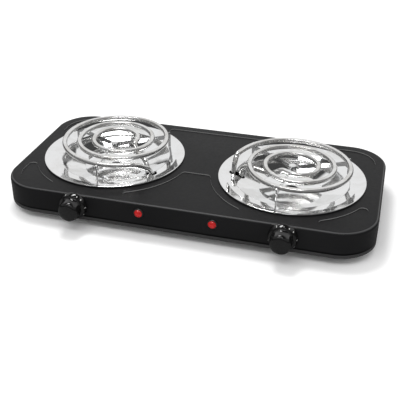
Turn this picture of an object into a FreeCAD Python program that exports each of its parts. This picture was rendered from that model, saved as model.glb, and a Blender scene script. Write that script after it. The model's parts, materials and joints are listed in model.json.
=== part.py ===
import FreeCAD, Part
import math
import os

import Sketcher
from FreeCAD import Placement, Rotation, Vector

# A table-top hot plate with two coil elements. Everything is drawn with the floor at z = 0, the
# housing's centre on x = y = 0, the front towards -Y, and is then moved back by frame_shift so that
# the row's origin is under the middle of the whole object, knobs and gland included.

doc = FreeCAD.newDocument("hot_plate_burner")
sheet = doc.addObject("Spreadsheet::Sheet", "Sizes")

SIZES = {
    # housing and base
    "housing_length": 480.0,
    "housing_width": 237.0,
    "housing_corner": 49.5,
    "top_height": 45.0,
    "top_edge_radius": 4.0,
    "sheet_wall": 1.0,
    "base_height": 4.5,
    "base_bottom": 10.5,
    "seam_gap": 0.3,
    "panel_depth": 1.2,
    "panel_inset": 14.5,
    "panel_rounding": 6.0,
    "panel_bowl_gap": 10.0,
    "label_front": -21.0,
    "label_back": 31.0,
    "foot_inset_x": 42.0,
    "foot_inset_y": 42.0,
    "foot_top_radius": 10.0,
    "foot_bottom_radius": 8.0,
    "screw_radius": 2.0,
    "screw_head_radius": 3.8,
    "screw_head_height": 2.4,
    "nut_radius": 4.0,
    "nut_height": 3.2,
    "bracket_width": 16.0,
    "bracket_leg": 12.0,
    "bracket_height": 16.0,
    "vent_length": 34.0,
    "vent_width": 4.0,
    "vent_pitch": 10.0,
    "vent_count": 7.0,
    # drip bowls
    "bowl_centre_x": 122.8,
    "bowl_radius": 96.0,
    "bowl_rise": 2.4,
    "bowl_flange_inner": 75.0,
    "bowl_seat_radius": 85.0,
    "bowl_floor_radius": 42.0,
    "bowl_depth": 16.0,
    "bowl_hole_radius": 10.0,
    "bowl_sheet": 0.6,
    "opening_clearance": 0.3,
    "slot_inner": 67.0,
    "slot_outer": 77.0,
    "slot_width": 11.0,
    "slot_margin": 5.5,
    "slot_angle_left": -29.0,
    "slot_angle_right": -176.0,
    # coils
    "tube_radius": 3.3,
    "tube_flat": 0.7,
    "coil_rise": 22.3,
    "coil_start_left": 29.5,
    "coil_pitch_left": 19.8,
    "coil_offset_left": 7.0,
    "coil_start_right": 34.0,
    "coil_first_angle_left": 0.0,
    "coil_first_angle_right": -120.0,
    "coil_last_angle_left": 290.0,
    "coil_last_angle_right": 160.0,
    "arm_angle_left": 34.0,
    "arm_angle_right": 24.0,
    "coil_pitch_right": 20.2,
    "coil_offset_right": -6.5,
    "lead_run_outer": 15.0,
    "lead_run_inner": 9.0,
    "lead_drop": 9.8,
    "lead_end": 31.0,
    "support_sheet": 1.2,
    "support_depth": 6.0,
    "support_hub_radius": 5.0,
    "support_leg": 3.2,
    "support_clearance": 0.4,
    "rest_gap": 0.1,
    "element_bracket_top": 34.0,
    "element_bracket_width": 14.0,
    "element_bracket_reach": 14.0,
    "element_bracket_foot": 7.0,
    "insulator_radius": 2.6,
    "insulator_height": 4.0,
    "pin_radius": 1.25,
    "pin_height": 3.0,
    # controls
    "knob_x": 133.0,
    "knob_z": 30.5,
    "knob_gap": 1.0,
    "knob_skirt_radius": 18.2,
    "knob_skirt_front": 16.6,
    "knob_skirt_depth": 6.5,
    "knob_grip_radius": 13.2,
    "knob_depth": 22.0,
    "knob_wall": 1.8,
    "knob_hub_radius": 5.2,
    "shaft_radius": 3.0,
    "shaft_flat": 0.8,
    "shaft_grip": 13.0,
    "shaft_inside": 16.0,
    "running_fit": 0.05,
    "shaft_hole_radius": 5.0,
    "thermostat_width": 34.0,
    "thermostat_depth": 24.0,
    "thermostat_height": 25.0,
    "thermostat_plate": 1.0,
    "thermostat_screw_spacing": 23.0,
    "small_screw_radius": 1.5,
    "small_head_radius": 2.7,
    "small_head_height": 1.6,
    "tag_width": 6.3,
    "tag_length": 8.0,
    "tag_sheet": 0.8,
    "tag_spacing": 18.0,
    "tag_height": 24.0,
    # indicator lamps
    "lamp_x": 47.0,
    "lamp_z": 32.6,
    "lamp_bezel_radius": 6.3,
    "lamp_bezel_depth": 1.6,
    "lamp_lens_radius": 5.0,
    "lamp_lens_depth": 3.2,
    "lamp_barrel_radius": 4.4,
    "lamp_barrel_length": 14.0,
    "lamp_wall": 0.8,
    "lamp_spigot": 4.0,
    "lamp_clip_radius": 8.0,
    "lamp_clip_sheet": 0.6,
    "neon_radius": 3.2,
    "neon_length": 8.0,
    # supply side
    "block_x": 0.0,
    "block_y": 60.0,
    "block_length": 36.0,
    "block_width": 18.0,
    "block_height": 14.0,
    "gland_x": 38.0,
    "gland_z": 30.0,
    "gland_flange_radius": 8.5,
    "gland_flange": 2.2,
    "gland_neck_radius": 6.3,
    "gland_inside": 5.0,
    "gland_bore_radius": 3.8,
    "earth_x": -30.0,
    "earth_y": 90.0,
    "earth_tongue": 11.0,
    "wire_radius": 1.2,
    "lamp_lead_radius": 0.8,
}

for row, (name, value) in enumerate(SIZES.items(), start=1):
    sheet.set(f"A{row}", name)
    sheet.set(f"B{row}", str(value))
    sheet.setAlias(f"B{row}", name)
doc.recompute()


def size(name):
    """The value of one cell of the sheet, in millimetres or degrees."""
    return float(sheet.get(name))


def ref(expression):
    """Turn plain size names into an expression on the sheet: each word gets the sheet's name."""
    words = []
    for word in expression.split():
        words.append("Sizes." + word if word in SIZES else word)
    return " ".join(words)


# Heights and places that several pieces share.
base_top = size("base_bottom") + size("base_height")
front_wall = -size("housing_width") / 2
front_inner = front_wall + size("sheet_wall")
back_wall = size("housing_width") / 2
coil_z = size("top_height") + size("coil_rise")
knob_front = front_wall - size("knob_gap") - size("knob_depth")
gland_back = back_wall + size("gland_flange")
frame_shift = -(knob_front + gland_back) / 2
FRAME = Vector(0, frame_shift, 0)
FRONT_FACING = Rotation(Vector(1, 0, 0), 90)    # turns a piece's own +Z to the front, -Y
BACK_FACING = Rotation(Vector(1, 0, 0), -90)    # turns a piece's own +Z to the back, +Y
SIDES = {"left": -1, "right": 1}

nodes = []


def keep(piece, label, place=Vector(0, 0, 0), turn=Rotation()):
    """Name a finished sub-part and put it in the row's frame."""
    piece.Label = label
    piece.Placement = Placement(place + FRAME, turn)
    nodes.append(piece)
    return piece


# ---------------------------------------------------------------- outlines and paths

def rounded_path(points, cap=1000.0, radii=None):
    """Edges of a path of straight runs joined by tangent arcs, open, in the plane or in space."""
    points = [Vector(*p) for p in points]
    edges = []
    start = points[0]
    for i in range(1, len(points) - 1):
        before = points[i] - points[i - 1]
        after = points[i + 1] - points[i]
        turn = before.getAngle(after)
        shorter = min(before.Length, after.Length)
        radius = min(cap, 0.45 * shorter / math.tan(turn / 2)) if turn > 1e-6 else 0
        if radii is not None:
            radius = min(radii[i - 1], 0.49 * shorter / math.tan(turn / 2))
        if radius < 1e-6:
            continue
        setback = radius * math.tan(turn / 2)
        before.normalize()
        after.normalize()
        first = points[i] - before * setback
        last = points[i] + after * setback
        inward = (after - before).normalize()
        middle = points[i] + inward * (radius / math.cos(turn / 2) - radius)
        if (first - start).Length > 1e-6:
            edges.append(Part.LineSegment(start, first))
        edges.append(Part.Arc(first, middle, last))
        start = last
    edges.append(Part.LineSegment(start, points[-1]))
    return edges


def strip_outline(points, thickness, radius):
    """Closed outline of a bent strip: its points are one face, and the other lies to the left."""
    flat = [Vector(p[0], p[1], 0) for p in points]
    normals = []
    for a, b in zip(flat[:-1], flat[1:]):
        along = (b - a).normalize()
        normals.append(Vector(-along.y, along.x, 0))
    other = [flat[0] + normals[0] * thickness]
    radii = []
    other_radii = []
    for i in range(1, len(flat) - 1):
        mitre = normals[i - 1] + normals[i]
        other.append(flat[i] + mitre * (2 * thickness / mitre.Length ** 2))
        left_turn = normals[i - 1].cross(normals[i]).z > 0
        radii.append(radius + thickness if left_turn else radius)
        other_radii.append(radius if left_turn else radius + thickness)
    other.append(flat[-1] + normals[-1] * thickness)
    near = rounded_path(flat, radii=radii)
    far = rounded_path(list(reversed(other)), radii=list(reversed(other_radii)))
    return near + [Part.LineSegment(flat[-1], other[-1])] + far + [Part.LineSegment(other[0], flat[0])]


def polygon(points):
    """Edges of a closed polygon in a sketch's plane."""
    corners = [Vector(p[0], p[1], 0) for p in points]
    return [Part.LineSegment(a, b) for a, b in zip(corners, corners[1:] + corners[:1])]


def rounded_rectangle(length, width, radius):
    """Closed outline about the origin, made of four straight runs and four quarter rounds."""
    x = length / 2
    y = width / 2
    reach = radius * (1 - math.sqrt(0.5))
    edges = []
    for sx, sy, first_x in ((1, 1, True), (-1, 1, False), (-1, -1, True), (1, -1, False)):
        on_side = Vector(sx * x, sy * (y - radius), 0)
        on_end = Vector(sx * (x - radius), sy * y, 0)
        middle = Vector(sx * (x - reach), sy * (y - reach), 0)
        start, stop = (on_side, on_end) if first_x else (on_end, on_side)
        edges.append(Part.Arc(start, middle, stop))
    corners = [(x - radius, y, -x + radius, y), (-x, y - radius, -x, -y + radius),
               (-x + radius, -y, x - radius, -y), (x, -y + radius, x, y - radius)]
    for ax, ay, bx, by in corners:
        edges.append(Part.LineSegment(Vector(ax, ay, 0), Vector(bx, by, 0)))
    return edges


def wire_of(edges):
    return Part.Wire(Part.__sortEdges__([edge.toShape() for edge in edges]))


def outline_of(wire):
    """Sketch geometry of a flat wire of lines and arcs."""
    edges = []
    for edge in wire.Edges:
        start = edge.valueAt(edge.FirstParameter)
        stop = edge.valueAt(edge.LastParameter)
        if isinstance(edge.Curve, Part.Line):
            edges.append(Part.LineSegment(start, stop))
        else:
            middle = edge.valueAt((edge.FirstParameter + edge.LastParameter) / 2)
            edges.append(Part.Arc(start, middle, stop))
    return edges


# ---------------------------------------------------------------- PartDesign helpers

def new_body(name):
    return doc.addObject("PartDesign::Body", name)


def new_sketch(body, name, edges, plane="XY_Plane", height=None):
    """A sketch of given edges on one of its body's origin planes, raised by a sheet expression."""
    sketch = body.newObject("Sketcher::SketchObject", name)
    support = next(f for f in body.Origin.OriginFeatures if f.Role == plane)
    sketch.AttachmentSupport = [(support, "")]
    sketch.MapMode = "FlatFace"
    for edge in edges:
        sketch.addGeometry(edge)
    if height is not None:
        sketch.setExpression("AttachmentOffset.Base.z", ref(height))
    return sketch


def circle_sketch(body, name, radius, plane="XY_Plane", height=None, centre=None):
    """A sketch of one circle whose radius, and whose centre if it has one, follow the sheet."""
    start = Part.Circle(Vector(0, 0, 0), Vector(0, 0, 1), 1.0)
    sketch = new_sketch(body, name, [start], plane, height)
    sketch.addConstraint(Sketcher.Constraint("Radius", 0, 1.0))
    sketch.setExpression("Constraints[0]", ref(radius))
    if centre is None:
        sketch.addConstraint(Sketcher.Constraint("Coincident", 0, 3, -1, 1))
        return sketch
    sketch.addConstraint(Sketcher.Constraint("DistanceX", -1, 1, 0, 3, 0.0))
    sketch.addConstraint(Sketcher.Constraint("DistanceY", -1, 1, 0, 3, 0.0))
    sketch.setExpression("Constraints[1]", ref(centre[0]))
    sketch.setExpression("Constraints[2]", ref(centre[1]))
    return sketch


def add_pad(body, sketch, length, down=False):
    pad = body.newObject("PartDesign::Pad", sketch.Name + "Pad")
    pad.Profile = sketch
    pad.setExpression("Length", ref(length))
    pad.Reversed = down
    doc.recompute()
    return pad


def add_pocket(body, sketch, length, up=False):
    """A pocket that has to remove something: its direction is wrong when it doesn't."""
    before = body.Shape.Volume
    pocket = body.newObject("PartDesign::Pocket", sketch.Name + "Pocket")
    pocket.Profile = sketch
    pocket.setExpression("Length", ref(length))
    pocket.Reversed = up
    doc.recompute()
    if not body.Shape.Volume < before - 1e-6:
        raise ValueError(f"{pocket.Name} cuts nothing")
    return pocket


def add_turned(body, name, edges):
    """A full turn about the body's Z axis of a profile drawn as (radius, height)."""
    sketch = new_sketch(body, name, edges, "XZ_Plane")
    turned = body.newObject("PartDesign::Revolution", name + "Turned")
    turned.Profile = sketch
    turned.ReferenceAxis = (sketch, ["V_Axis"])
    turned.Angle = 360.0
    doc.recompute()
    return turned


def add_pattern(body, feature, direction, pitch, count):
    """Repeat a feature along one of the body's axes, centred on the first by the caller."""
    pattern = body.newObject("PartDesign::LinearPattern", feature.Name + "Row")
    pattern.Originals = [feature]
    axis = next(f for f in body.Origin.OriginFeatures if f.Role == direction)
    pattern.Direction = (axis, [""])
    pattern.Mode = "Spacing"
    pattern.setExpression("Offset", ref(pitch))
    pattern.Occurrences = count
    body.Tip = pattern
    doc.recompute()
    return pattern


def round_edges(body, feature, radius, test):
    """Fillet the edges of a feature that a test on the edge picks out."""
    names = [f"Edge{i}" for i, edge in enumerate(feature.Shape.Edges, start=1) if test(edge)]
    fillet = body.newObject("PartDesign::Fillet", feature.Name + "Round")
    fillet.Base = (feature, names)
    fillet.setExpression("Radius", ref(radius))
    doc.recompute()
    return fillet


def at_height(level):
    return lambda edge: all(abs(v.Z - level) < 1e-4 for v in edge.Vertexes)


def solid_piece(name, shape):
    """A sub-part whose shape comes straight from Part's functions."""
    feature = doc.addObject("Part::Feature", name)
    feature.Shape = shape
    return feature


# ---------------------------------------------------------------- housing and base

def panel_faces():
    """The six sunk panels of the top: between the outline, the two bowls and the label band."""
    inset = size("panel_inset")
    region = Part.Face(wire_of(rounded_rectangle(size("housing_length") - 2 * inset,
                                                 size("housing_width") - 2 * inset,
                                                 size("housing_corner") - inset)))
    for side in SIDES.values():
        round_gap = Part.Circle(Vector(side * size("bowl_centre_x"), 0, 0), Vector(0, 0, 1),
                                size("bowl_radius") + size("panel_bowl_gap"))
        region = region.cut(Part.Face(Part.Wire(round_gap.toShape())))
    band = Part.makePlane(size("housing_length"), size("label_back") - size("label_front"),
                          Vector(-size("housing_length") / 2, size("label_front"), 0))
    rounding = size("panel_rounding")
    faces = []
    for face in region.cut(band).Faces:
        shrunk = face.makeOffset2D(-rounding)
        for part in shrunk.Faces:
            faces += part.makeOffset2D(rounding).Faces
    return faces


def make_top_housing():
    body = new_body("TopHousing")
    length = size("housing_length")
    width = size("housing_width")
    corner = size("housing_corner")
    wall = size("sheet_wall")
    outline = rounded_rectangle(length, width, corner)
    shell = new_sketch(body, "HousingOutline", outline, height="base_bottom + base_height + seam_gap")
    pad = add_pad(body, shell, "top_height - base_bottom - base_height - seam_gap")
    round_edges(body, pad, "top_edge_radius", at_height(size("top_height")))
    inside = rounded_rectangle(length - 2 * wall, width - 2 * wall, corner - wall)
    cavity = new_sketch(body, "HousingInside", inside, height="base_bottom + base_height + seam_gap")
    add_pocket(body, cavity, "top_height - base_bottom - base_height - seam_gap - sheet_wall", up=True)
    for i, face in enumerate(panel_faces()):
        outline = outline_of(face.OuterWire)
        backing = face.makeOffset2D(wall)
        under = new_sketch(body, f"PanelBack{i}", outline_of(backing.Faces[0].OuterWire),
                           height="top_height - sheet_wall")
        add_pad(body, under, "panel_depth", down=True)
        sunk = new_sketch(body, f"Panel{i}", outline, height="top_height")
        add_pocket(body, sunk, "panel_depth")
    for side, sign in SIDES.items():
        mirror = "-" if sign < 0 else ""
        opening = circle_sketch(body, "BurnerOpening_" + side,
                                "bowl_seat_radius + opening_clearance", height="top_height",
                                centre=(mirror + " bowl_centre_x", "0 mm"))
        add_pocket(body, opening, "panel_depth + sheet_wall + 1")
        hole = circle_sketch(body, "ShaftHole_" + side, "shaft_hole_radius", "XZ_Plane",
                             "housing_width / 2 + 1", (mirror + " knob_x", "knob_z"))
        add_pocket(body, hole, "sheet_wall + 2")
        lamp = circle_sketch(body, "LampHole_" + side, "lamp_barrel_radius + rest_gap", "XZ_Plane",
                             "housing_width / 2 + 1", (mirror + " lamp_x", "lamp_z"))
        add_pocket(body, lamp, "sheet_wall + 2")
        for end, shift in (("a", "-"), ("b", "+")):
            screw = circle_sketch(body, f"ThermostatScrewHole_{side}_{end}",
                                  "small_screw_radius + rest_gap", "XZ_Plane",
                                  "housing_width / 2 + 1",
                                  (f"{mirror} knob_x {shift} thermostat_screw_spacing / 2", "knob_z"))
            add_pocket(body, screw, "sheet_wall + 2")
    gland = circle_sketch(body, "GlandHole", "gland_neck_radius + rest_gap", "XZ_Plane",
                          "- housing_width / 2 + sheet_wall + 1", ("gland_x", "gland_z"))
    add_pocket(body, gland, "sheet_wall + 2")
    return keep(body, "top_housing")


def foot_places():
    x = size("housing_length") / 2 - size("foot_inset_x")
    y = size("housing_width") / 2 - size("foot_inset_y")
    return [(sx * x, sy * y) for sx in (-1, 1) for sy in (-1, 1)]


def bracket_places():
    """Middle of each wall's inner face, with the turn that points a bracket's leg inward."""
    x = size("housing_length") / 2 - size("sheet_wall")
    y = size("housing_width") / 2 - size("sheet_wall")
    return [(0, -y, 0), (x, 0, 90), (0, y, 180), (-x, 0, 270)]


def bracket_screw_places():
    reach = size("bracket_leg") * 0.6
    places = []
    for x, y, turn in bracket_places():
        inward = Rotation(Vector(0, 0, 1), turn).multVec(Vector(0, reach, 0))
        places.append((x + inward.x, y + inward.y))
    return places


def make_base_plate():
    body = new_body("BasePlate")
    length = size("housing_length")
    width = size("housing_width")
    corner = size("housing_corner")
    wall = size("sheet_wall")
    rim = new_sketch(body, "BaseOutline", rounded_rectangle(length, width, corner),
                     height="base_bottom")
    add_pad(body, rim, "base_height")
    inside = rounded_rectangle(length - 2 * wall, width - 2 * wall, corner - wall)
    hollow = new_sketch(body, "BaseHollow", inside, height="base_bottom")
    add_pocket(body, hollow, "base_height - sheet_wall", up=True)
    earth = [(size("earth_x"), size("earth_y"))]
    for i, (x, y) in enumerate(foot_places() + bracket_screw_places() + earth):
        hole = Part.Circle(Vector(x, y, 0), Vector(0, 0, 1), size("screw_radius") + 0.1)
        sketch = new_sketch(body, f"BaseHole{i}", [hole], height="base_bottom + base_height")
        add_pocket(body, sketch, "base_height")
    span = size("vent_pitch") * (int(size("vent_count")) - 1)
    for side, sign in SIDES.items():
        slot = rounded_rectangle(size("vent_width"), size("vent_length"), size("vent_width") / 2 - 0.01)
        sketch = new_sketch(body, "Vent_" + side, slot, height="base_bottom + base_height")
        sketch.AttachmentOffset = Placement(
            Vector(sign * size("bowl_centre_x") - span / 2, 0, 0), Rotation())
        sketch.setExpression("AttachmentOffset.Base.z", ref("base_bottom + base_height"))
        pocket = add_pocket(body, sketch, "base_height")
        add_pattern(body, pocket, "X_Axis", "vent_pitch", int(size("vent_count")))
    return keep(body, "base_plate")


def turned_piece(name, profile):
    body = new_body(name)
    add_turned(body, name + "Profile", polygon(profile))
    return body


def copies(name, body, places, turn=Rotation()):
    """One node of equal solids: the body's shape at each place."""
    solids = []
    for place in places:
        solid = body.Shape.copy()
        solid.Placement = Placement(Vector(*place), turn)
        solids.append(solid)
    group = solid_piece(name, Part.Compound(solids))
    return group


def make_feet():
    top = base_top - size("sheet_wall")
    head = size("screw_head_radius") + 0.4
    sink = top * 0.55
    bore = size("screw_radius") + 0.1
    foot = turned_piece("FootMould", [(bore, sink), (head, sink), (head, 0), (size("foot_bottom_radius"), 0),
                                      (size("foot_top_radius"), top), (bore, top)])
    places = [(x, y, 0) for x, y in foot_places()]
    keep(copies("RubberFeet", foot, places), "rubber_feet")
    screw_top = base_top + size("nut_height") + 1.0
    screw = turned_piece("FootScrewBlank", screw_profile(sink, screw_top))
    keep(copies("FootScrews", screw, places), "foot_screws")
    nut = doc.addObject("Part::Prism", "NutBlank")
    nut.Polygon = 6
    nut.setExpression("Circumradius", ref("nut_radius"))
    nut.setExpression("Height", ref("nut_height"))
    bore = doc.addObject("Part::Cylinder", "NutBore")
    bore.setExpression("Radius", ref("screw_radius"))
    bore.setExpression("Height", ref("nut_height"))
    ring = doc.addObject("Part::Cut", "NutRing")
    ring.Base = nut
    ring.Tool = bore
    doc.recompute()
    keep(copies("FootNuts", ring, [(x, y, base_top) for x, y in foot_places()]), "foot_nuts")


def screw_profile(seat, tip):
    """Pan-head screw on its axis: the head hangs below its seat and the shank ends at the tip."""
    shank = size("screw_radius")
    head = size("screw_head_radius")
    low = seat - size("screw_head_height")
    crown = head * 0.7
    return [(0, low), (crown, low), (head, low + size("screw_head_height") * 0.4), (head, seat),
            (shank, seat), (shank, tip - 0.5), (shank - 0.5, tip), (0, tip)]


def make_housing_brackets():
    """Angle brackets welded inside the walls; the base screws thread into their legs."""
    wall = size("sheet_wall")
    body = new_body("BracketBlank")
    strip = strip_outline([(0, size("bracket_height")), (0, 0), (size("bracket_leg"), 0)], wall, 0.6)
    sketch = new_sketch(body, "BracketStrip", strip, "YZ_Plane")
    pad = body.newObject("PartDesign::Pad", "BracketPad")
    pad.Profile = sketch
    pad.setExpression("Length", ref("bracket_width"))
    pad.Midplane = True
    doc.recompute()
    hole = circle_sketch(body, "BracketHole", "screw_radius + 0.05", height="sheet_wall + 1",
                         centre=("0 mm", "bracket_leg * 0.6"))
    add_pocket(body, hole, "sheet_wall + 2")
    solids = []
    for x, y, turn in bracket_places():
        solid = body.Shape.copy()
        solid.Placement = Placement(Vector(x, y, base_top), Rotation(Vector(0, 0, 1), turn))
        solids.append(solid)
    keep(solid_piece("HousingBrackets", Part.Compound(solids)), "housing_brackets")
    seat = base_top - wall
    screw = turned_piece("BaseScrewBlank", screw_profile(seat, base_top + wall + 2.5))
    places = [(x, y, 0) for x, y in bracket_screw_places()]
    keep(copies("BaseScrews", screw, places), "base_screws")


# ---------------------------------------------------------------- drip bowls

def slot_angle(side):
    return size("slot_angle_" + side)


def polar(radius, angle):
    return Vector(radius * math.cos(math.radians(angle)), radius * math.sin(math.radians(angle)), 0)


def make_drip_bowl(side):
    """Pressed bowl: a flange that seats on the housing, a sloped wall, a flat floor and a slot."""
    body = new_body("DripBowl_" + side)
    sheet_t = size("bowl_sheet")
    top = size("top_height")
    rim = size("bowl_radius")
    floor_z = top - size("bowl_depth")
    lip = 1.4
    path = [(rim, top + size("bowl_rise") - lip), (rim, top + size("bowl_rise") + sheet_t),
            (size("bowl_seat_radius"), top + sheet_t), (size("bowl_flange_inner"), top),
            (size("bowl_floor_radius"), floor_z), (size("bowl_hole_radius"), floor_z)]
    edges = strip_outline(path, sheet_t, 1.0)
    add_turned(body, "BowlProfile_" + side, edges)
    reach = (size("slot_outer") - size("slot_inner")) / 2 + size("slot_margin")
    slot = rounded_rectangle(2 * reach, size("slot_width"), size("slot_width") / 2 - 0.01)
    sketch = new_sketch(body, "LeadSlot_" + side, slot)
    middle = polar((size("slot_outer") + size("slot_inner")) / 2, slot_angle(side))
    sketch.AttachmentOffset = Placement(middle + Vector(0, 0, top + 2 * size("bowl_rise")),
                                        Rotation(Vector(0, 0, 1), slot_angle(side)))
    add_pocket(body, sketch, "bowl_depth + 2 * bowl_rise")
    return keep(body, "drip_bowl_" + side, Vector(SIDES[side] * size("bowl_centre_x"), 0, 0))


# ---------------------------------------------------------------- coil elements

def coil_halves(side):
    """Half turns of the coil as (centre x, radius): the back halves turn about the coil's centre and
    the front halves about a point half a pitch to the right, so that each half turn meets the next."""
    start = size("coil_start_" + side)
    step = size("coil_pitch_" + side) / 2
    first = 0 if side == "left" else -1
    last = 5 if side == "left" else 4
    return [(step if k % 2 else 0.0, start + k * step, k) for k in range(first, last + 1)]


def coil_point(side, centre_x, radius, angle):
    return Vector(centre_x, size("coil_offset_" + side), coil_z) + polar(radius, angle)


def slot_point(side, radius, height):
    return polar(radius, slot_angle(side)) + Vector(0, 0, height)


def coil_path(side):
    """The sheathed tube from the inner terminal, up through the slot, round the turns and back down."""
    first_angle = size("coil_first_angle_" + side)
    last_angle = size("coil_last_angle_" + side)
    halves = coil_halves(side)
    turns = []
    for centre_x, radius, k in halves:
        low = first_angle if k == halves[0][2] else (180.0 if k % 2 else 0.0)
        high = last_angle if k == halves[-1][2] else (360.0 if k % 2 else 180.0)
        if low < 0:
            high = 0.0
        a, b, c = [coil_point(side, centre_x, radius, t) for t in (low, (low + high) / 2, high)]
        turns.append(Part.Arc(a, b, c))
    start = turns[0].StartPoint
    stop = turns[-1].EndPoint
    back = polar(size("lead_run_inner"), first_angle - 90)
    onward = polar(size("lead_run_outer"), last_angle + 90)
    inner_slot = slot_point(side, size("slot_inner"), coil_z - size("lead_drop"))
    corner = start + back
    dip = corner + (inner_slot - corner) * 0.25
    dip.z = inner_slot.z
    inner = [slot_point(side, size("slot_inner"), size("lead_end")), inner_slot, dip, corner, start]
    outer_corner = stop + onward
    outer_slot = slot_point(side, size("slot_outer"), size("top_height") - 1)
    fall = outer_corner * 0.3 + outer_slot * 0.7
    fall.z = coil_z - 11.5
    outer = [stop, outer_corner, fall, outer_slot, slot_point(side, size("slot_outer"), size("lead_end"))]
    leads = [rounded_path(points, cap=16.0) for points in (inner, outer)]
    return leads[0] + turns + leads[1]


def swept_tube(edges, radius, name):
    """A round tube along tangent edges; its volume must match its section times its length."""
    path = Part.Wire([edge.toShape() for edge in edges])
    first = path.Edges[0]
    start = first.valueAt(first.FirstParameter)
    along = first.tangentAt(first.FirstParameter)
    section = Part.Wire(Part.Circle(start, along, radius).toShape())
    tube = path.makePipeShell([section], True, False)
    expected = math.pi * radius ** 2 * path.Length
    if not tube.isValid() or abs(tube.Volume / expected - 1) > 0.02:
        raise ValueError(f"{name}: swept tube of {tube.Volume:.0f}, expected {expected:.0f}")
    return tube


def make_coil(side):
    """The tube with its top rolled flat, so that a pan stands on the turns."""
    tube = swept_tube(coil_path(side), size("tube_radius"), "coil " + side)
    reach = size("bowl_radius")
    above = Part.makeBox(2 * reach, 2 * reach, size("tube_radius"),
                         Vector(-reach, -reach, coil_z + size("tube_radius") - size("tube_flat")))
    tube = tube.cut(above)
    return keep(solid_piece("CoilElement_" + side, tube), "coil_element_" + side,
                Vector(SIDES[side] * size("bowl_centre_x"), 0, 0))


def outer_turn_distance(side, angle):
    """How far out from the bowl's centre the coil's outermost turn lies along a direction."""
    along = polar(1.0, angle)
    farthest = 0.0
    for centre_x, radius, k in coil_halves(side)[-3:]:
        front = k % 2 == 1
        centre = Vector(centre_x, size("coil_offset_" + side), 0)
        across = along.dot(centre)
        reach = across + math.sqrt(across ** 2 - centre.Length ** 2 + radius ** 2)
        hit = along * reach - centre
        on_front = hit.y < 0
        hit_angle = math.degrees(math.atan2(hit.y, hit.x)) % 360
        cut_short = side == "left" and k == 5 and hit_angle > size("coil_last_angle_left")
        if front == on_front and not cut_short:
            farthest = max(farthest, reach)
    return farthest


def arm_angles(side):
    first = size("arm_angle_" + side)
    return [first, first + 120, first + 240]


def make_coil_support(side):
    """Three sheet arms on edge: they carry the turns, hook up outside them and stand on the flange."""
    top = coil_z - size("tube_radius") - size("rest_gap")
    low = top - size("support_depth")
    hub = Part.makeCylinder(size("support_hub_radius"), size("support_depth"), Vector(0, 0, low))
    whole = hub
    flange = size("top_height") + size("bowl_sheet") + size("rest_gap")
    slope = size("bowl_rise") / (size("bowl_radius") - size("bowl_seat_radius"))
    for angle in arm_angles(side):
        inner = outer_turn_distance(side, angle) + size("tube_radius") + size("support_clearance")
        outer = inner + size("support_leg")
        foot = flange + max(0.0, outer - size("bowl_seat_radius")) * slope
        points = [(0, low), (inner - 4, low), (inner, low - 4), (inner, foot), (outer, foot),
                  (outer, coil_z), (outer - 0.6, coil_z + 0.6), (inner, coil_z + 0.6), (inner, top), (0, top)]
        arm = Part.Face(wire_of(polygon(points))).extrude(Vector(0, 0, size("support_sheet")))
        arm.Placement = Placement(Vector(0, 0, 0), Rotation(Vector(0, 0, 1), angle)).multiply(
            Placement(Vector(0, size("support_sheet") / 2, 0), FRONT_FACING))
        whole = whole.fuse(arm)
    return keep(solid_piece("CoilSupport_" + side, whole.removeSplitter()), "coil_support_" + side,
                Vector(SIDES[side] * size("bowl_centre_x"), 0, 0))


def make_element_bracket(side):
    """Channel on the base plate; the two ends of the tube pass down through its web."""
    body = new_body("ElementBracket_" + side)
    middle = (size("slot_inner") + size("slot_outer")) / 2
    reach = size("element_bracket_reach")
    high = size("element_bracket_top") - base_top
    foot = size("element_bracket_foot")
    wall = size("sheet_wall")
    path = [(-reach - foot, 0), (-reach, 0), (-reach, high - wall), (reach, high - wall), (reach, 0),
            (reach + foot, 0)]
    sketch = new_sketch(body, "BracketSection_" + side, strip_outline(path, wall, 0.8), "XZ_Plane")
    pad = body.newObject("PartDesign::Pad", "BracketPad_" + side)
    pad.Profile = sketch
    pad.setExpression("Length", ref("element_bracket_width"))
    pad.Midplane = True
    doc.recompute()
    for end, radius in (("inner", "slot_inner"), ("outer", "slot_outer")):
        hole = circle_sketch(body, f"LeadHole_{side}_{end}", "tube_radius + rest_gap",
                             height="element_bracket_top - base_bottom - base_height + 1",
                             centre=(f"{radius} - ( slot_inner + slot_outer ) / 2", "0 mm"))
        add_pocket(body, hole, "sheet_wall + 3")
    place = polar(middle, slot_angle(side)) + Vector(SIDES[side] * size("bowl_centre_x"), 0, base_top)
    return keep(body, "element_bracket_" + side, place, Rotation(Vector(0, 0, 1), slot_angle(side)))


def lead_end_places(side, height):
    centre = Vector(SIDES[side] * size("bowl_centre_x"), 0, 0)
    return [centre + slot_point(side, size(radius), height) for radius in ("slot_inner", "slot_outer")]


def make_terminals():
    """Ceramic beads on the tube ends, and the pins that stand out of them."""
    bead = doc.addObject("Part::Cylinder", "BeadBlank")
    bead.setExpression("Radius", ref("insulator_radius"))
    bead.setExpression("Height", ref("insulator_height"))
    pin = doc.addObject("Part::Cylinder", "PinBlank")
    pin.setExpression("Radius", ref("pin_radius"))
    pin.setExpression("Height", ref("pin_height"))
    doc.recompute()
    bead_z = size("lead_end") - size("insulator_height")
    for side in SIDES:
        beads = [tuple(p) for p in lead_end_places(side, bead_z)]
        pins = [tuple(p) for p in lead_end_places(side, bead_z - size("pin_height"))]
        keep(copies("Insulators_" + side, bead, beads), "terminal_insulators_" + side)
        keep(copies("Pins_" + side, pin, pins), "terminal_pins_" + side)


# ---------------------------------------------------------------- controls

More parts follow.
